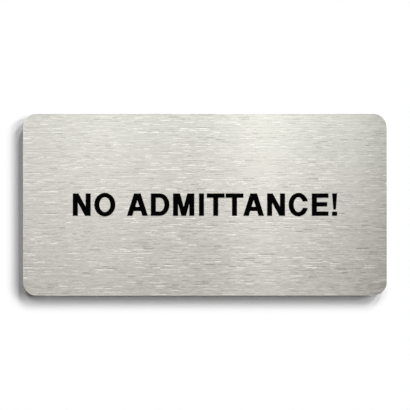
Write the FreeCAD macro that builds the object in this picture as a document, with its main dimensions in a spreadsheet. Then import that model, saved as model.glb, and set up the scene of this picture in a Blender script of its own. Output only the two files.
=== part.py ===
import FreeCAD, Part
import Sketcher
import math
import os

# A small sign for a door or a wall: a brushed stainless sheet with rounded corners, one printed
# line of black capitals that forbids entry, and three strips of foam tape that hold it up.
# The sign stands as it is used: +X runs to the reader's right, +Z up and +Y into the door.
# The origin is on the door's surface, at the middle of the centre strip's rear face.

doc = FreeCAD.newDocument("DoorSign")

# Millimetres. Each value is a size that can be set by itself.
SIZES = {
    # the metal sheet
    "plate_length": 160.0,
    "plate_height": 80.0,
    "plate_thickness": 1.0,
    "corner_radius": 6.0,
    "edge_round": 0.2,
    # the foam tape on its back
    "tape_width": 19.0,
    "tape_thickness": 1.0,
    "tape_side_inset": 8.0,
    "tape_end_inset": 6.0,
    # the printed line as a whole
    "ink_thickness": 0.05,
    "cap_height": 9.9,
    "stem_width": 2.25,
    "bar_width": 1.97,
    "round_overshoot": 0.26,
    # the room at the side of a straight, a round and a slanted stroke, and of a crossbar's end
    "straight_gap": 1.0,
    "round_gap": 0.55,
    "slant_gap": 0.27,
    "arm_gap": 0.19,
    "word_space": 4.2,
    "ta_tuck": 0.6,
    # the width of each letter, and what only that letter has
    "n_width": 7.9,
    "n_diagonal": 2.5,
    "o_width": 9.31,
    "a_width": 9.25,
    "a_leg": 2.45,
    "a_apex": 3.0,
    "a_bar_low": 2.1,
    "d_width": 8.22,
    "d_shoulder": 3.9,
    "m_width": 9.39,
    "m_foot": 2.1,
    "m_shoulder": 3.15,
    "t_width": 7.88,
    "c_width": 8.64,
    "c_mouth_low": 3.55,
    "c_mouth": 2.8,
    "e_width": 7.36,
    "e_middle_width": 6.8,
    "e_middle_low": 4.1,
    "mark_width": 2.25,
    "mark_foot": 1.15,
    "mark_low": 2.8,
    "mark_dot": 1.9,
}

sheet = doc.addObject("Spreadsheet::Sheet", "Sizes")
for row, (alias, value) in enumerate(SIZES.items(), start=1):
    sheet.set(f"A{row}", alias)
    sheet.set(f"B{row}", str(value))
    sheet.setAlias(f"B{row}", alias)
doc.recompute()


def bind(piece, bindings):
    """Ties properties of a piece to expressions on the sheet."""
    for path, expression in bindings.items():
        piece.setExpression(path, expression)
    return piece


# The sheet metal plate


def rounded_rectangle(sketch):
    """Draws the plate's outline about the sketch's origin and ties its three sizes."""
    half_length = SIZES["plate_length"] / 2
    half_height = SIZES["plate_height"] / 2
    radius = SIZES["corner_radius"]
    in_x, in_y = half_length - radius, half_height - radius
    point = FreeCAD.Vector

    def line(x_1, y_1, x_2, y_2):
        return sketch.addGeometry(Part.LineSegment(point(x_1, y_1), point(x_2, y_2)))

    def arc(x, y, quarter):
        circle = Part.Circle(point(x, y), point(0, 0, 1), radius)
        turn = math.pi / 2
        return sketch.addGeometry(Part.ArcOfCircle(circle, quarter * turn, (quarter + 1) * turn))

    bottom = line(-in_x, -half_height, in_x, -half_height)
    bottom_right = arc(in_x, -in_y, 3)
    right = line(half_length, -in_y, half_length, in_y)
    top_right = arc(in_x, in_y, 0)
    top = line(in_x, half_height, -in_x, half_height)
    top_left = arc(-in_x, in_y, 1)
    left = line(-half_length, in_y, -half_length, -in_y)
    bottom_left = arc(-in_x, -in_y, 2)

    start, end, centre = 1, 2, 3
    loop = [bottom, bottom_right, right, top_right, top, top_left, left, bottom_left]
    for edge, following in zip(loop, loop[1:] + loop[:1]):
        sketch.addConstraint(Sketcher.Constraint("Tangent", edge, end, following, start))
    for edge in (bottom, top):
        sketch.addConstraint(Sketcher.Constraint("Horizontal", edge))
    for edge in (left, right):
        sketch.addConstraint(Sketcher.Constraint("Vertical", edge))
    for edge in (top_right, top_left, bottom_left):
        sketch.addConstraint(Sketcher.Constraint("Equal", bottom_right, edge))
    origin = -1
    sketch.addConstraint(
        Sketcher.Constraint("Symmetric", bottom_left, centre, top_right, centre, origin, start)
    )
    driving = {
        "length": Sketcher.Constraint("DistanceX", left, start, right, start, 2 * half_length),
        "height": Sketcher.Constraint("DistanceY", bottom, start, top, start, 2 * half_height),
        "radius": Sketcher.Constraint("Radius", bottom_right, radius),
    }
    for name, constraint in driving.items():
        sketch.renameConstraint(sketch.addConstraint(constraint), name)
    bind(sketch, {
        "Constraints.length": "Sizes.plate_length",
        "Constraints.height": "Sizes.plate_height",
        "Constraints.radius": "Sizes.corner_radius",
    })


def make_plate():
    """A blank cut from sheet, with the front edge eased all round and the rear edge left square."""
    body = doc.addObject("PartDesign::Body", "SignPlate")
    body.Label = "sign_plate"
    planes = {plane.Role: plane for plane in body.Origin.OriginFeatures}
    outline = body.newObject("Sketcher::SketchObject", "PlateOutline")
    outline.AttachmentSupport = (planes["XZ_Plane"], [""])
    outline.MapMode = "FlatFace"
    rounded_rectangle(outline)
    blank = body.newObject("PartDesign::Pad", "PlateBlank")
    blank.Profile = outline
    bind(blank, {"Length": "Sizes.plate_thickness"})
    doc.recompute()

    front = blank.Shape.BoundBox.YMin
    front_edges = [
        f"Edge{number}"
        for number, edge in enumerate(blank.Shape.Edges, start=1)
        if abs(edge.BoundBox.YMax - front) < 1e-6
    ]
    eased = body.newObject("PartDesign::Fillet", "EasedFrontEdge")
    eased.Base = (blank, front_edges)
    bind(eased, {"Radius": "Sizes.edge_round"})
    bind(body, {"Placement.Base.y": "-Sizes.tape_thickness"})
    return body


# The foam tape


def make_tape_strip(name, side):
    """One strip of double-sided foam tape, upright on the plate's back. side is -1, 0 or 1."""
    strip = doc.addObject("Part::Box", name.title().replace("_", ""))
    strip.Label = name
    middle = f"{side} * (Sizes.plate_length / 2 - Sizes.tape_side_inset - Sizes.tape_width / 2)"
    length = "(Sizes.plate_height - 2 * Sizes.tape_end_inset)"
    return bind(strip, {
        "Length": "Sizes.tape_width",
        "Width": "Sizes.tape_thickness",
        "Height": length,
        "Placement.Base.x": f"{middle} - Sizes.tape_width / 2",
        "Placement.Base.y": "-Sizes.tape_thickness",
        "Placement.Base.z": f"-{length} / 2",
    })


# The printed capitals. Each is drawn flat, its left edge at x = 0 and its baseline at y = 0,
# and the ink rises along z.

CAP = "Sizes.cap_height"
STEM = "Sizes.stem_width"
BAR = "Sizes.bar_width"
INK = "Sizes.ink_thickness"
OVER = "Sizes.round_overshoot"


def stroke(name, left, low, width, height):
    """An upright or level stroke."""
    return bind(doc.addObject("Part::Box", name), {
        "Length": width,
        "Width": height,
        "Height": INK,
        "Placement.Base.x": left,
        "Placement.Base.y": low,
    })


def slope(name, foot, head, foot_width, head_width=None, low="0", top=CAP):
    """A leaning stroke, cut level at its foot and head."""
    return bind(doc.addObject("Part::Wedge", name), {
        "Xmin": foot,
        "Xmax": f"{foot} + {foot_width}",
        "X2min": head,
        "X2max": f"{head} + {head_width or foot_width}",
        "Ymin": low,
        "Ymax": top,
        "Zmin": "0",
        "Z2min": "0",
        "Zmax": INK,
        "Z2max": INK,
    })


def oval(name, middle, half_width, half_height):
    """A solid oval centred on the height of the capitals."""
    ring = doc.addObject("Part::Ellipse", name + "Line")
    ring.Placement.Rotation.Axis = FreeCAD.Vector(0, 0, 1)
    bind(ring, {
        "MajorRadius": f"max({half_width}; {half_height})",
        "MinorRadius": f"min({half_width}; {half_height})",
        "Placement.Rotation.Angle": f"{half_width} >= {half_height} ? 0 : 90",
        "Placement.Base.x": middle,
        "Placement.Base.y": f"{CAP} / 2",
    })
    solid = doc.addObject("Part::Extrusion", name)
    solid.Base = ring
    solid.DirMode = "Custom"
    solid.Dir = FreeCAD.Vector(0, 0, 1)
    solid.Solid = True
    return bind(solid, {"LengthFwd": INK})


def fuse(name, pieces):
    whole = doc.addObject("Part::MultiFuse", name)
    whole.Shapes = pieces
    whole.Refine = True
    return whole


def cut(name, base, tool):
    rest = doc.addObject("Part::Cut", name)
    rest.Base = base
    rest.Tool = tool
    return rest


def overlap(name, base, tool):
    common = doc.addObject("Part::Common", name)
    common.Base = base
    common.Tool = tool
    return common


def letter_n(name):
    width = "Sizes.n_width"
    return fuse(name, [
        stroke(name + "Left", "0", "0", STEM, CAP),
        slope(name + "Diagonal", f"{width} - Sizes.n_diagonal", "0", "Sizes.n_diagonal"),
        stroke(name + "Right", f"{width} - {STEM}", "0", STEM, CAP),
    ])


def letter_m(name):
    width, foot = "Sizes.m_width", "Sizes.m_foot"
    middle = f"({width} - {foot}) / 2"
    return fuse(name, [
        stroke(name + "Left", "0", "0", STEM, CAP),
        slope(name + "Fall", middle, f"Sizes.m_shoulder - {foot}", foot),
        slope(name + "Rise", middle, f"{width} - Sizes.m_shoulder", foot),
        stroke(name + "Right", f"{width} - {STEM}", "0", STEM, CAP),
    ])


def letter_a(name):
    width, leg, apex, low = "Sizes.a_width", "Sizes.a_leg", "Sizes.a_apex", "Sizes.a_bar_low"
    lean = f"({width} - {apex}) / 2"
    bar_left = f"({lean} * ({low} + {BAR} / 2) / {CAP} + {leg} / 2)"
    return fuse(name, [
        slope(name + "Left", "0", lean, leg),
        stroke(name + "Bar", bar_left, low, f"{width} - 2 * {bar_left}", BAR),
        slope(name + "Right", f"{width} - {leg}", f"{lean} + {apex} - {leg}", leg),
    ])


def letter_t(name):
    width = "Sizes.t_width"
    return fuse(name, [
        stroke(name + "Arm", "0", f"{CAP} - {BAR}", width, BAR),
        stroke(name + "Stem", f"({width} - {STEM}) / 2", "0", STEM, CAP),
    ])


def letter_i(name):
    return stroke(name, "0", "0", STEM, CAP)


def letter_e(name):
    width = "Sizes.e_width"
    return fuse(name, [
        stroke(name + "Stem", "0", "0", STEM, CAP),
        stroke(name + "Top", "0", f"{CAP} - {BAR}", width, BAR),
        stroke(name + "Middle", "0", "Sizes.e_middle_low", "Sizes.e_middle_width", BAR),
        stroke(name + "Foot", "0", "0", width, BAR),
    ])


def round_ring(name, width):
    """The ring of a round letter, which stands a little over the line and under it."""
    half_width = f"({width} / 2)"
    half_height = f"({CAP} / 2 + {OVER})"
    outer = oval(name + "Outer", half_width, half_width, half_height)
    inner = oval(name + "Inner", half_width, f"({half_width} - {STEM})", f"({half_height} - {BAR})")
    return cut(name, outer, inner)


def letter_o(name):
    return round_ring(name, "Sizes.o_width")


def letter_c(name):
    width = "Sizes.c_width"
    mouth = stroke(name + "Mouth", f"{width} / 2", "Sizes.c_mouth_low", width, "Sizes.c_mouth")
    return cut(name, round_ring(name + "Ring", width), mouth)


def bow(name, left, low, half_height, reach):
    """The straight-backed half of an oval that a D is made of: square on the left, round right."""
    shoulder = "Sizes.d_shoulder"
    height = f"2 * {half_height}"
    square = stroke(name + "Square", left, low, f"{shoulder} - {left}", height)
    whole = oval(name + "Oval", shoulder, reach, half_height)
    window = stroke(name + "Window", shoulder, low, reach, height)
    return fuse(name, [square, overlap(name + "Round", whole, window)])


def letter_d(name):
    reach = "(Sizes.d_width - Sizes.d_shoulder)"
    outer = bow(name + "Outer", "0", "0", f"({CAP} / 2)", reach)
    inner = bow(name + "Inner", STEM, BAR, f"({CAP} / 2 - {BAR})", f"({reach} - {STEM})")
    return cut(name, outer, inner)


def exclamation_mark(name):
    width, foot = "Sizes.mark_width", "Sizes.mark_foot"
    return fuse(name, [
        slope(name + "Stroke", f"({width} - {foot}) / 2", "0", foot, width, "Sizes.mark_low"),
        stroke(name + "Dot", "0", "0", width, "Sizes.mark_dot"),
    ])


# How each character is made, its width, and the room at its left and its right.
CHARACTERS = {
    "N": (letter_n, "n_width", "straight_gap", "straight_gap"),
    "O": (letter_o, "o_width", "round_gap", "round_gap"),
    "A": (letter_a, "a_width", "slant_gap", "slant_gap"),
    "D": (letter_d, "d_width", "straight_gap", "round_gap"),
    "M": (letter_m, "m_width", "straight_gap", "straight_gap"),
    "I": (letter_i, "stem_width", "straight_gap", "straight_gap"),
    "T": (letter_t, "t_width", "arm_gap", "arm_gap"),
    "C": (letter_c, "c_width", "round_gap", "round_gap"),
    "E": (letter_e, "e_width", "straight_gap", "round_gap"),
    "!": (exclamation_mark, "mark_width", "straight_gap", "straight_gap"),
}
WORDING = "NO ADMITTANCE!"


def set_line(wording):
    """Sets the characters side by side, centred on the front of the plate."""
    characters = []
    reached = "0 mm"
    room = "0"
    for before, character in zip(" " + wording, wording):
        if character == " ":
            room += " + Sizes.word_space"
            continue
        make, width, left_gap, right_gap = CHARACTERS[character]
        if characters:
            room += f" + Sizes.{left_gap}"
        if before + character == "TA":
            room += " - Sizes.ta_tuck"
        piece = make(f"Character{len(characters) + 1}")
        bind(piece, {"Placement.Base.x": f"{reached} + 1 mm * ({room})"})
        characters.append(piece)
        reached = f"{piece.Name}.Placement.Base.x + 1 mm * Sizes.{width}"
        room = f"Sizes.{right_gap}"

    line = doc.addObject("Part::Compound", "PrintedLettering")
    line.Label = "printed_lettering"
    line.Links = characters
    line.Placement.Rotation = FreeCAD.Rotation(FreeCAD.Vector(1, 0, 0), 90)
    return bind(line, {
        "Placement.Base.x": f"-({reached}) / 2",
        "Placement.Base.y": "-(Sizes.tape_thickness + Sizes.plate_thickness)",
        "Placement.Base.z": f"-{CAP} / 2",
    })


plate = make_plate()
strips = [
    make_tape_strip(name, side)
    for name, side in (("left_tape_strip", -1), ("centre_tape_strip", 0), ("right_tape_strip", 1))
]
lettering = set_line(WORDING)
doc.recompute()

for piece in doc.Objects:
    if {"Invalid", "Error"} & set(piece.State):
        raise RuntimeError(f"{piece.Label} didn't compute: {piece.State}")
    if piece.isDerivedFrom("Part::Cut") and piece.Shape.Volume >= piece.Base.Shape.Volume:
        raise RuntimeError(f"{piece.Label} cut nothing away")

nodes = [plate, lettering] + strips
for node in nodes:
    if node.Shape.isNull() or not node.Shape.isValid() or not node.Shape.Solids:
        raise RuntimeError(f"{node.Label} has no valid solid")

os.makedirs("parts", exist_ok=True)
for node in nodes:
    node.Shape.exportStep(f"parts/{node.Label}.step")
    box = node.Shape.optimalBoundingBox()
    print(
        f"{node.Label}: {len(node.Shape.Solids)} solids, {node.Shape.Volume:.2f} mm3,"
        f" x {box.XMin:.2f} to {box.XMax:.2f}, y {box.YMin:.2f} to {box.YMax:.2f},"
        f" z {box.ZMin:.2f} to {box.ZMax:.2f}"
    )
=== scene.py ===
# %% [markdown]
# # A brushed metal door sign
#
# The sign is a rectangle of thin stainless sheet with rounded corners, one line of black capitals
# printed across its middle, and three strips of white foam tape on its back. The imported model
# already has the sheet, the capitals and the strips at their real sizes. This script gives each
# of them its finish, and makes the strips again with more form than a plain block has.

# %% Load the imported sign
import math
import random

import bmesh
import bpy
from mathutils import Euler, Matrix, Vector, noise


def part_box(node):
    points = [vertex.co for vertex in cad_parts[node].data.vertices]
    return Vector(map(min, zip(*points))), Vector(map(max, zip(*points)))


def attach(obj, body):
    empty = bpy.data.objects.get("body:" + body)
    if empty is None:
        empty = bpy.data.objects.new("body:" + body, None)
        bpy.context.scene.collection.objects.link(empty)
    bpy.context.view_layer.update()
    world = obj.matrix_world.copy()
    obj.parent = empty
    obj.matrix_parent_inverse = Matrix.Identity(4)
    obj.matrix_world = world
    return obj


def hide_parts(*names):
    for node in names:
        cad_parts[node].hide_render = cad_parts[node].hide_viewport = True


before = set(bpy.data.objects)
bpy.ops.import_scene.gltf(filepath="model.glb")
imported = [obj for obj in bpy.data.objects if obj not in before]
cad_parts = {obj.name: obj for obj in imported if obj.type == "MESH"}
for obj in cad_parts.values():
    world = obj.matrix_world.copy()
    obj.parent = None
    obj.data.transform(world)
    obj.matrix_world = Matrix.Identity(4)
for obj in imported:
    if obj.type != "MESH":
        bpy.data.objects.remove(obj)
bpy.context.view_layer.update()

MM = 0.001
sign_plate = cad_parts["sign_plate"]
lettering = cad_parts["printed_lettering"]
plate_low, plate_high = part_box("sign_plate")
print("pieces:", sorted(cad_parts))
print("plate, mm:", [round(side / MM, 2) for side in plate_high - plate_low])

# %% [markdown]
# ## Sums on a material's wires
#
# A finish in Blender is a net of nodes, and most of it is arithmetic: this noise times that mask,
# plus a little of another. It could be wired up node by node, but the sums are easier to follow
# when they are written as sums. So a `Wire` stands for one output of a node and understands
# Python's own signs, and a `Finish` adds every other kind of node through one method.


# %% A wire that can be added, taken away and multiplied
class Wire:
    """An output of a node. A sum on it adds a Math node."""

    def __init__(self, tree, socket):
        self.tree = tree
        self.socket = socket

    def maths(self, operation, *values):
        node = self.tree.nodes.new("ShaderNodeMath")
        node.operation = operation
        for value, socket in zip(values, node.inputs):
            plug(self.tree, value, socket)
        return Wire(self.tree, node.outputs[0])

    def __add__(self, other):
        return self.maths("ADD", self, other)

    def __sub__(self, other):
        return self.maths("SUBTRACT", self, other)

    def __rsub__(self, other):
        return self.maths("SUBTRACT", other, self)

    def __mul__(self, other):
        return self.maths("MULTIPLY", self, other)

    def __pow__(self, other):
        return self.maths("POWER", self, other)

    def __gt__(self, other):
        return self.maths("GREATER_THAN", self, other)

    def floor(self):
        return self.maths("FLOOR", self)

    def clamped(self):
        capped = self.maths("MINIMUM", self, 1.0)
        return self.maths("MAXIMUM", capped, 0.0)

    __radd__ = __add__
    __rmul__ = __mul__


def plug(tree, value, socket):
    """Gives a socket a wire or a plain value."""
    if isinstance(value, Wire):
        tree.links.new(value.socket, socket)
    else:
        socket.default_value = value


print("wires understand + - * ** > floor and clamped")


# %% A finish, which adds nodes by name
SHORT_BY = 0.3
ABRUPT = 16.0
ROW_JUMBLE = 97.0


class Finish:
    """The nodes of one material, or of the world."""

    def __init__(self, owner):
        owner.use_nodes = True
        self.owner = owner
        self.tree = owner.node_tree
        self.tree.nodes.clear()

    def node(self, kind, settings=None, sockets=None, output=0):
        """Adds a node: its kind, its settings first, then the values or wires of its sockets."""
        node = self.tree.nodes.new("ShaderNode" + kind)
        for name, value in (settings or {}).items():
            if name == "curve":
                curve = node.mapping.curves[0]
                while len(curve.points) < len(value):
                    curve.points.new(0.5, 0.5)
                for point, (place, level) in zip(curve.points, value):
                    point.location = (place * 0.5 + 0.5, level * 0.5)
                node.mapping.update()
            else:
                setattr(node, name, value)
        for name, value in (sockets or {}).items():
            plug(self.tree, value, node.inputs[name])
        return Wire(self.tree, node.outputs[output])

    def outputs(self, kind, sockets=None):
        """All the outputs of one node, as wires."""
        first = self.node(kind, sockets=sockets)
        return [Wire(self.tree, socket) for socket in first.socket.node.outputs]

    def axes(self, vector):
        """The three numbers of a vector."""
        return self.outputs("SeparateXYZ", {"Vector": vector})

    def place(self):
        """Where a point is on the sign, in metres."""
        return self.node("TexCoord", output="Object")

    def facing(self):
        """How far a surface faces back, from -1 at the front to 1 at the back."""
        return self.axes(self.node("TexCoord", output="Normal"))[1]

    def stretched(self, place, sizes, shift=0.0):
        """Places in a pattern as large as sizes, in millimetres."""
        return self.node("Mapping", {"vector_type": "TEXTURE"}, {
            "Vector": place,
            "Scale": [size * MM for size in sizes],
            "Location": (shift, 0.0, shift),
        })

    def clouds(self, place, sizes, detail=2.0, shift=0.0):
        """Soft blotches, from -1 to 1."""
        cloud = self.node("TexNoise", sockets={
            "Vector": self.stretched(place, sizes, shift), "Scale": 1.0, "Detail": detail,
        })
        return (cloud - 0.5) * 2.0

    def scratches(self, place, length, width, pitch, shift=0.0):
        """Thin straight scratches in rows a pitch apart, one to a length of row, in millimetres.

        Each lies at a height of its own in its row, and starts and stops short of its length.
        Gives the level of each, from -1 to 1, its ridge, from 0 at its edges to 1, and how the
        ridge leans, from -1 on its lower side to 1 on its upper side.
        """
        along, _, up = self.axes(self.stretched(place, (length, 1.0, pitch), shift))
        row = up.floor()
        lot = self.node("TexWhiteNoise", {"noise_dimensions": "1D"}, {"W": row}, output="Value")
        along = along * (lot + 0.5) + lot * ROW_JUMBLE
        number = along.floor()
        cell = self.node("CombineXYZ", sockets={"X": number, "Y": row, "Z": shift})
        level, lots = self.outputs("TexWhiteNoise", {"Vector": cell})
        height_lot, start_lot, stop_lot = self.axes(lots)
        share = width / pitch
        middle = (height_lot - 0.5) * (1.0 - share) + 0.5
        slope = (up - row - middle) * (2.0 / share)
        reach = along - number
        started = ((reach - start_lot * SHORT_BY) * ABRUPT).clamped()
        stopped = ((1.0 - reach - stop_lot * SHORT_BY) * ABRUPT).clamped()
        ridge = ((1.0 - slope * slope) * 2.0).clamped() * started * stopped
        return (level - 0.5) * 2.0, ridge, slope * ridge

    def profile(self, value, points):
        """A smooth curve through brightnesses, given for values from -1 to 1."""
        curve = self.node("FloatCurve", {"curve": points}, {"Value": value * 0.5 + 0.5})
        return curve * 2.0

    def smooth_step(self, value, low, high, to_low=0.0, to_high=1.0):
        """One level turning softly into another between low and high."""
        return self.node("MapRange", {"interpolation_type": "SMOOTHSTEP"}, {
            "Value": value, "From Min": low, "From Max": high,
            "To Min": to_low, "To Max": to_high,
        })

    def blend(self, amount, first, second):
        """One colour turning into another."""
        return self.node("Mix", {"data_type": "RGBA", "clamp_factor": True}, {
            0: amount, 6: first, 7: second,
        }, output=2)

    def shaded(self, colour, level):
        """A colour made lighter or darker."""
        return self.node("VectorMath", {"operation": "SCALE"}, {0: colour, "Scale": level})

    def surface(self, shader):
        """Ends a material with its shader."""
        output = self.tree.nodes.new("ShaderNodeOutputMaterial")
        plug(self.tree, shader, output.inputs["Surface"])
        return self.owner


print("a finish adds nodes by name")

# %% [markdown]
# ## Brushed stainless steel
#
# The sheet is drawn under a belt of coarse grit, which leaves thousands of fine straight scratches
# along its length. Each is a groove that spreads light up and down but hardly left and right. A
# picture of brushed metal would do for a small web page, but a pattern worked out from places
# stays sharp at any distance. Stretched noise is the usual choice, and it looks soft and woolly
# here: real scratches are straight, and start and stop abruptly. So the face is laid out in rows,
# and each row is cut into lengths by chance. A length holds one thin scratch, at a height of its
# own in the row and a little shorter than its length, so that the rows themselves don't show.
# Each scratch has a level of its own too. Most cuts lie close to the ground, because their level
# is mostly cubed, and a few stand out. Furrows lean: the lean shapes the bump, and it is also
# painted into the colour. Each furrow gets a painted highlight on its upper side and painted shade
# on its lower one, or the other way about, as a groove shows under light from above. The shader's
# anisotropy then spreads the gloss across the grain.

# %% The scratches of a coarse belt
STEEL = (0.655, 0.637, 0.587)
BRIGHT_CUT = (0.655, 0.640, 0.597)
CUTS = {"length": 6.0, "width": 0.42, "pitch": 0.9, "shift": 0.31}


def belt_grain_and_relief_shade(finish, place):
    """Scratches of several widths, from about -1 to 1, a little rougher in some places, with
    painted relief shade on the furrows.
    """
    hair, hair_ridge, _ = finish.scratches(place, length=2.8, width=0.36, pitch=0.6)
    cut, cut_ridge, _ = finish.scratches(place, **CUTS)
    furrow, _, furrow_relief_and_painted_shade = finish.scratches(place, length=7.0, width=0.86, pitch=1.3, shift=0.57)
    streak, streak_ridge, _ = finish.scratches(
        place, length=22.0, width=0.8, pitch=1.0, shift=0.73,
    )
    worked = finish.clouds(place, (22.0, 5.0, 3.5), shift=0.4)
    fine = hair * hair_ridge * 0.6
    # The furrows' lean, painted into the colour, is painted shade on one side of each furrow and a
    # painted highlight on the other.
    deep_cuts_and_relief_shade = (cut * 0.2 + cut ** 3 * 1.3) * cut_ridge + furrow ** 3 * furrow_relief_and_painted_shade * 1.6
    return (fine + deep_cuts_and_relief_shade) * (worked * 0.4 + 1.0) + streak * streak_ridge * 0.2


print("the steel's own colour:", STEEL)

# %% [markdown]
# ## The sheet's back and rim
#
# Only the face is brushed. The back keeps the smooth grey of the rolling mill, lined in the
# direction it was rolled and clouded where the acid that cleaned it bit unevenly. The rim was
# sheared, so it is bright and has fine lines straight across its thickness. All three could be
# materials of their own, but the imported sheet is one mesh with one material. So each finish is
# told from the others by which way the surface faces.

# %% One metal, three finishes
MILL_STEEL = (0.53, 0.53, 0.52)
RIM_STEEL = (0.62, 0.62, 0.60)
TURNED, SQUARE_ON = 0.8, 0.97
FACE_ROUGHNESS, BACK_ROUGHNESS, RIM_ROUGHNESS = 0.23, 0.34, 0.31
SMOOTHEST, ROUGHEST = 0.12, 0.7
SPREAD_ACROSS_GRAIN = 0.88
QUARTER_TURN = 0.25


def stainless():
    finish = Finish(bpy.data.materials.new("brushed_stainless"))
    place = finish.place()
    facing = finish.facing()
    front = finish.smooth_step(facing, -SQUARE_ON, -TURNED, 1.0, 0.0)
    back = finish.smooth_step(facing, TURNED, SQUARE_ON)
    rim = 1.0 - front - back

    grain_and_relief_shade = belt_grain_and_relief_shade(finish, place)
    wander = finish.clouds(place, (60.0, 5.0, 45.0), detail=1.0, shift=1.9)
    rolled = finish.clouds(place, (80.0, 5.0, 1.6), detail=4.0, shift=2.3)
    dulled = finish.clouds(place, (17.0, 5.0, 11.0), detail=3.0, shift=0.9)
    sheared = finish.clouds(place, (0.5, 9.0, 0.5), detail=3.0, shift=1.1)

    # The grain carries the furrows' painted relief shade into the face's colour as well as into
    # its bump.
    metal = finish.blend(grain_and_relief_shade, (*STEEL, 1.0), (*BRIGHT_CUT, 1.0))
    brushed = finish.shaded(metal, grain_and_relief_shade * 0.265 + grain_and_relief_shade * grain_and_relief_shade * 0.03 + wander * 0.02 + 1.0)
    milled = finish.shaded(MILL_STEEL, rolled * 0.11 + dulled * 0.08 + 1.0)
    edge = finish.shaded(RIM_STEEL, sheared * 0.3 + 1.0)
    colour = finish.blend(back, finish.blend(front, edge, brushed), milled)
    roughness = finish.node("Clamp", sockets={
        "Value": (
            front * (grain_and_relief_shade * 0.04 + FACE_ROUGHNESS)
            + back * (dulled * 0.1 + rolled * 0.05 + BACK_ROUGHNESS)
            + rim * (sheared * 0.1 + RIM_ROUGHNESS)
        ),
        "Min": SMOOTHEST, "Max": ROUGHEST,
    })
    bump = finish.node("Bump", sockets={
        "Height": (
            front * grain_and_relief_shade * 0.8 + back * (rolled * 1.8 + dulled * 0.4) + rim * sheared * 1.5
        ),
        "Strength": 0.15, "Distance": 0.03 * MM,
    })
    steel = finish.node("BsdfPrincipled", sockets={
        "Base Color": colour,
        "Metallic": 1.0,
        "Roughness": roughness,
        "Anisotropic": SPREAD_ACROSS_GRAIN,
        "Anisotropic Rotation": QUARTER_TURN,
        "Normal": bump,
    })
    return finish.surface(steel)


sign_plate.data.materials.clear()
sign_plate.data.materials.append(stainless())
print("the plate's finish:", sign_plate.data.materials[0].name)

# %% [markdown]
# ## Printed ink
#
# The capitals are screen-printed: a skin of dense black ink, nearly matt, so thin that the
# scratches under it still show in what gloss it has. It could be a plain black, but then it
# would look like a hole in the sign when light falls along it.

# %% Dense black ink
INK = (0.0006, 0.0006, 0.00065)
INK_ROUGHNESS = 0.5
INK_GLOSS = 0.015


def black_ink():
    finish = Finish(bpy.data.materials.new("dense_black_ink"))
    place = finish.place()
    cut, cut_ridge, _ = finish.scratches(place, **CUTS)
    telegraph = cut * cut_ridge
    orange_peel = finish.clouds(place, (0.5, 0.5, 0.5))
    bump = finish.node("Bump", sockets={
        "Height": telegraph * 0.6 + orange_peel * 0.4, "Strength": 0.3, "Distance": 0.02 * MM,
    })
    ink = finish.node("BsdfPrincipled", sockets={
        "Base Color": finish.shaded(INK, telegraph * 0.3 + 1.0),
        "Roughness": orange_peel * 0.05 + telegraph * 0.03 + INK_ROUGHNESS,
        "Specular IOR Level": INK_GLOSS,
        "Normal": bump,
    })
    return finish.surface(ink)


lettering.data.materials.clear()
lettering.data.materials.append(black_ink())
print("the capitals are inked:", lettering.data.materials[0].name)

# %% [markdown]
# ## Foam mounting tape
#
# Double-sided tape holds the sign to its door: white closed-cell foam, with a film of clear
# adhesive on each face. The film is smooth and a little glossy, with shallow dimples where the
# foam under it gave and faint lines along the way the tape came off its roll. The cut sides show
# the foam's bare cells, with painted shade in their pores. A flat white would do from far off, but
# tape lit from one side shows that it is soft and uneven.

# %% White foam with a glossy face
FOAM = (0.80, 0.80, 0.765)
CELL_SIZE = 0.3 * MM
FILM_ROUGHNESS = 0.27
CUT_SIDE, FILM_FACE = 0.6, 0.95


def foam_tape():
    finish = Finish(bpy.data.materials.new("foam_tape"))
    place = finish.place()
    side = 1.0 - finish.smooth_step(finish.facing(), CUT_SIDE, FILM_FACE)
    cells = finish.node("TexVoronoi", {"feature": "F1"}, {
        "Vector": place, "Scale": 1 / CELL_SIZE,
    }, output="Distance")
    dimples = finish.clouds(place, (2.4, 2.4, 2.4), detail=2.0)
    ripple = finish.clouds(place, (9.0, 9.0, 16.0), detail=2.0, shift=0.6)
    drawn = finish.clouds(place, (0.9, 9.0, 40.0), detail=3.0, shift=1.4)
    pore_depth_and_shade = side * cells
    film = dimples * 0.05 + ripple * 0.06 + drawn * 0.06
    bump = finish.node("Bump", sockets={
        "Height": pore_depth_and_shade * -1.0 + dimples * 0.7 + ripple * 1.2 + drawn * 0.3,
        "Strength": 0.9, "Distance": 0.2 * MM,
    })
    foam = finish.node("BsdfPrincipled", sockets={
        # The pores on the cut sides are darkened with painted shade, deepest where the bump makes
        # them lowest.
        "Base Color": finish.shaded(FOAM, pore_depth_and_shade * -0.25 + cells * -0.06 + film + 1.0),
        "Roughness": side * 0.5 + dimples * 0.08 + ripple * 0.08 + FILM_ROUGHNESS,
        "Normal": bump,
    })
    return finish.surface(foam)


FOAM_TAPE = foam_tape()
print("the tape's finish:", FOAM_TAPE.name)

# %% [markdown]
# ## The strips
#
# Each strip is a length off a roll. The knife of the tape's maker leaves the long sides straight,
# though the foam springs in a little between its two films, and scissors cut the ends a touch out
# of square. A strip could be a plain block, because the sheet hides it from the front, but the
# back of a sign is seen before it is put up. It starts as a cube stretched to the strip's box.
# Cuts give it something to bend, and every bend goes inwards so that it stays in its place. The
# rims of its two films are rounded last, and the corners stay sharp, as blades leave them.

# %% One strip, from a cube
SPRING_IN = 0.12 * MM
SIDE_WANDER = 0.08 * MM
OUT_OF_SQUARE = 0.5 * MM
FILM_EDGE = 0.1 * MM
SHARP = math.radians(45)
RUNS_ALONG = 0.9
RUNS_ROUND_A_FACE = 0.5
WANDERS = 5.0
AT_AN_END = 0.99
CUTS_ALONG, CUTS_ACROSS, CUTS_THROUGH = 33, 9, 3


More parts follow.
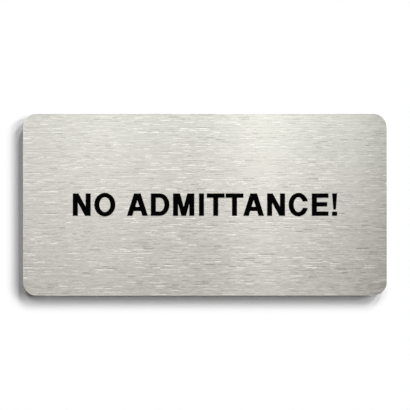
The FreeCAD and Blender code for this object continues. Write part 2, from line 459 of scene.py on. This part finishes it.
def heading(edge):
    """The way an edge runs, one unit long."""
    return (edge.verts[1].co - edge.verts[0].co).normalized()


def cut_across(shape, axis, cuts):
    """Cuts every edge that runs along an axis, and the faces between the cuts."""
    edges = [edge for edge in shape.edges if abs(heading(edge)[axis]) > RUNS_ALONG]
    bmesh.ops.subdivide_edges(shape, edges=edges, cuts=cuts, use_grid_fill=True)


def bend_foam(vertex, seed, top_slant, bottom_slant):
    """Bends a point of a strip that still fills the cube from -0.5 to 0.5."""
    side, depth, height = vertex.co * 2.0
    slant = top_slant if height > 0 else bottom_slant
    sprung = (1.0 - depth * depth) * SPRING_IN
    wander = (noise.noise((seed, side, height * WANDERS)) + 1.0) / 2 * SIDE_WANDER
    inward = Vector((-side * (sprung + wander), 0.0, 0.0))
    short = abs(slant) * (1.0 - side * math.copysign(1.0, slant)) / 2
    inward.z = -height * (short + sprung * (abs(height) > AT_AN_END))
    return inward


print("a strip has", (CUTS_ALONG + 1) * (CUTS_ACROSS + 1), "faces front and back")

# %% The three strips, in their boxes
scissors = random.Random(7)


def tape_strip(node_name):
    low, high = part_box(node_name)
    middle, size = (low + high) / 2, high - low
    seed = scissors.uniform(0.0, 90.0)
    top_slant = scissors.uniform(-1.0, 1.0) * OUT_OF_SQUARE
    bottom_slant = scissors.uniform(-1.0, 1.0) * OUT_OF_SQUARE
    shape = bmesh.new()
    bmesh.ops.create_cube(shape, size=1.0)
    for axis, cuts in enumerate((CUTS_ACROSS, CUTS_THROUGH, CUTS_ALONG)):
        cut_across(shape, axis, cuts)
    bends = {
        vertex: bend_foam(vertex, seed, top_slant, bottom_slant) for vertex in shape.verts
    }
    bmesh.ops.scale(shape, vec=size, verts=shape.verts)
    bmesh.ops.translate(shape, vec=middle, verts=shape.verts)
    for vertex, bend in bends.items():
        vertex.co += bend
    rims = [
        edge for edge in shape.edges
        if edge.calc_face_angle() > SHARP and abs(heading(edge).y) < RUNS_ROUND_A_FACE
    ]
    bmesh.ops.bevel(
        shape, geom=rims, offset=FILM_EDGE, affect="EDGES", segments=2, profile=0.5,
        material=-1, clamp_overlap=True,
    )
    for face in shape.faces:
        face.smooth = True
    for edge in shape.edges:
        edge.smooth = edge.calc_face_angle() < SHARP
    mesh = bpy.data.meshes.new(node_name)
    shape.to_mesh(mesh)
    shape.free()
    mesh.materials.append(FOAM_TAPE)
    strip = bpy.data.objects.new(node_name.replace("_strip", "_foam"), mesh)
    bpy.context.scene.collection.objects.link(strip)
    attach(strip, "root")
    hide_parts(node_name)
    return strip


strips = [tape_strip(name) for name in sorted(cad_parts) if name.endswith("tape_strip")]
for strip in strips:
    print(strip.name, "faces:", len(strip.data.polygons))

# %% [markdown]
# ## A place to be seen in
#
# The sign is shown stuck to a white wall, which takes its shadow. The wall would hide the sign
# from behind, so only its front can be seen: to a camera behind it, it is clear. It is also
# clear to the light that the metal's back throws about, except in the narrow gap behind the
# sign, which would otherwise be lit from behind and lose its shadow.

# %% The wall and the floor
WALL_GAP = 0.1 * MM
WALL_SIZE = 0.6
FLOOR_SIZE = 6.0
FLOOR_DROP = 0.15
MATT_WHITE = (0.98, 0.98, 0.98, 1.0)
AFTER_ONE_BOUNCE, AFTER_TWO_BOUNCES = 0.5, 1.5


def flat_sheet(name, size, turn, middle):
    """A square of the stage, which isn't part of the sign."""
    shape = bmesh.new()
    bmesh.ops.create_grid(shape, x_segments=1, y_segments=1, size=size / 2)
    bmesh.ops.rotate(shape, matrix=Euler(turn).to_matrix(), verts=shape.verts)
    bmesh.ops.translate(shape, vec=middle, verts=shape.verts)
    mesh = bpy.data.meshes.new(name)
    shape.to_mesh(mesh)
    shape.free()
    sheet = bpy.data.objects.new(name, mesh)
    bpy.context.scene.collection.objects.link(sheet)
    return sheet


def stage_white(name, shades_gap):
    """Matt white for a camera in front of it, and clear to what is behind."""
    finish = Finish(bpy.data.materials.new(name))
    bounces = finish.node("LightPath", output="Ray Depth")
    solid = 1.0 - (bounces > AFTER_ONE_BOUNCE)
    if shades_gap:
        solid = solid + (bounces > AFTER_TWO_BOUNCES)
    front = 1.0 - finish.node("NewGeometry", output="Backfacing")
    clear = finish.node("BsdfTransparent")
    white = finish.node("BsdfDiffuse", sockets={"Color": MATT_WHITE})
    return finish.surface(
        finish.node("MixShader", sockets={0: solid * front, 1: clear, 2: white})
    )


wall = flat_sheet(
    "wall", WALL_SIZE, (math.radians(90), 0, 0), (0, WALL_GAP, WALL_SIZE / 2 - FLOOR_DROP)
)
wall.data.materials.append(stage_white("wall_white", shades_gap=True))
floor = flat_sheet("floor", FLOOR_SIZE, (0, 0, 0), (0, 0, -FLOOR_DROP))
floor.data.materials.append(stage_white("floor_white", shades_gap=False))
print("wall faces:", tuple(round(v, 2) for v in wall.data.polygons[0].normal))

# %% [markdown]
# ## Light
#
# The shadow lies to the left of the sign and below it, dark at the sign and fading over some
# seven millimetres, as under large softboxes to the right and above that stand close to the
# wall. One lamp gives a shadow with one edge, so five stand in an arc from the right end round
# to the top, and their shadows add up to the fade. Those at the ends of the arc are wide and
# stand higher off the wall, and the three between are narrow and low, which takes the shadow
# furthest at the lower left corner. The last stands past the top, and so the wall is shaded by
# a hair's breadth along the right edge too. All are suns with an angle of their own, which light
# every part of the wall alike, and together they make it just white. Two more behind the wall
# light only the sign's back.

# %% Distant softboxes


def far_softbox(name, bearing, rise, spread, level):
    """A softbox so far off that it lights everything alike.

    Bearing is its way round the sign, from the right end up, and rise is how far it comes out
    from the wall, both in degrees. Level is what it adds to a white wall.
    """
    light = bpy.data.lights.new(name, "SUN")
    light.angle = math.radians(spread)
    bearing, rise = math.radians(bearing), math.radians(rise)
    way = Vector((
        math.cos(rise) * math.cos(bearing), -math.sin(rise), math.cos(rise) * math.sin(bearing),
    ))
    light.energy = level * math.pi / abs(way.y)
    lamp = bpy.data.objects.new(name, light)
    bpy.context.scene.collection.objects.link(lamp)
    lamp.rotation_euler = way.to_track_quat("Z", "Y").to_euler()
    lamp.visible_glossy = False
    return lamp


LAMPS = [
    far_softbox("right_softbox", bearing=8, rise=24, spread=20, level=0.19),
    far_softbox("side_softbox", bearing=20, rise=16.5, spread=7, level=0.155),
    far_softbox("corner_softbox", bearing=44, rise=17, spread=11, level=0.27),
    far_softbox("high_softbox", bearing=68, rise=16.5, spread=8, level=0.205),
    far_softbox("top_softbox", bearing=103, rise=27, spread=21, level=0.175),
    far_softbox("rear_softbox", bearing=135, rise=-50, spread=30, level=0.65),
    far_softbox("rear_fill_softbox", bearing=-20, rise=-35, spread=60, level=0.22),
]
print("lamps:", [lamp.name for lamp in LAMPS])

# %% [markdown]
# ## What the metal mirrors
#
# Bare metal has no look of its own: it shows what stands around it. The room could be built,
# but then it would be in every view. A sky that only glossy rays see does the same work. It is
# painted by height, brighter above the sign than below it and warmer below, and by side, with
# the pale upright band of a window to the right of the middle and a dark one past it. The two
# are crossed a little, which lifts the upper right and the lower left. The bands far out at the
# sides are for a sign that is seen from the side. Far below is a bright floor, which keeps the
# eased lower edge from looking black. The camera sees plain white, and matt things get a little
# even light.

# %% A sky for the gloss
FILL = 0.03
WARM_BELOW = (1.0, 0.962, 0.945, 1.0)
COOL_ABOVE = (0.97, 1.0, 0.995, 1.0)
BY_HEIGHT = [
    (-1.0, 1.25), (-0.6, 1.1), (-0.32, 0.37), (-0.1, 0.66),
    (0.1, 1.5), (0.3, 1.68), (0.6, 0.9), (1.0, 0.65),
]
BY_SIDE = [
    (-1.0, 0.8), (-0.85, 0.95), (-0.66, 1.35), (-0.5, 0.95), (-0.35, 0.87), (-0.2, 0.89),
    (-0.12, 1.0), (-0.04, 0.87), (0.02, 0.87), (0.08, 1.26), (0.125, 0.81), (0.18, 0.91),
    (0.25, 0.36), (0.36, 0.6), (0.55, 0.85), (0.72, 1.4), (0.88, 0.95), (1.0, 0.8),
]
CROSSED = 0.15
NEAR_LEVEL = 0.12
WHITE = (1.0, 1.0, 1.0, 1.0)


def sky():
    finish = Finish(bpy.data.worlds.new("studio"))
    bpy.context.scene.world = finish.owner
    side, _, height = finish.axes(finish.node("TexCoord", output="Generated"))
    seen = finish.node("LightPath", output="Is Camera Ray")
    through = finish.node("LightPath", output="Is Transmission Ray")
    glossy = finish.node("LightPath", output="Is Glossy Ray")
    plain = (seen + through).clamped()
    crossed = finish.smooth_step(
        side * height, -NEAR_LEVEL, NEAR_LEVEL, 1.0 - CROSSED, 1.0 + CROSSED,
    )
    mirrored = finish.profile(height, BY_HEIGHT) * finish.profile(side, BY_SIDE) * crossed
    level = plain + (1.0 - plain) * (glossy * mirrored + (1.0 - glossy) * FILL)
    above = finish.smooth_step(height, -NEAR_LEVEL, NEAR_LEVEL)
    tint = finish.blend(above, WARM_BELOW, COOL_ABOVE)
    colour = finish.blend(glossy, WHITE, tint)
    light = finish.node("Background", sockets={"Color": colour, "Strength": level})
    output = finish.tree.nodes.new("ShaderNodeOutputWorld")
    plug(finish.tree, light, output.inputs["Surface"])


sky()
print("world:", bpy.context.scene.world.name)

# %% [markdown]
# ## Camera
#
# The sign is seen dead square. The frame is 410 pixels wide and the plate takes 364 of them. A
# wide lens could stand close by, but it would see the sign's ends at a slant, and the gloss
# would change along it. So a long lens stands further off, a hair below the middle, as the
# photograph is framed.

# %% The camera
FRAME_PIXELS = 410
PLATE_PIXELS = 364.0
LENS = 70.0
SENSOR = 36.0
CLOSEST_SEEN = 0.01
ASIDE = (0.02 * MM, -0.15 * MM)
frame_width = (plate_high.x - plate_low.x) * FRAME_PIXELS / PLATE_PIXELS
distance = frame_width * LENS / SENSOR
lens = bpy.data.cameras.new("camera")
lens.lens = LENS
lens.sensor_width = SENSOR
lens.clip_start = CLOSEST_SEEN
camera = bpy.data.objects.new("camera", lens)
bpy.context.scene.collection.objects.link(camera)
camera.location = (ASIDE[0], plate_low.y - distance, ASIDE[1])
camera.rotation_euler = (math.radians(90), 0, 0)
bpy.context.scene.camera = camera
print("camera distance, m:", round(distance, 4))

# %% [markdown]
# ## Colours
#
# Blender's usual view softens bright colours, as film does, and a white wall would come out grey.
# The plain view shows each colour as it is written.

# %% Colours as written
bpy.context.scene.view_settings.view_transform = "Standard"
bpy.context.view_layer.update()
print("view:", bpy.context.scene.view_settings.view_transform)
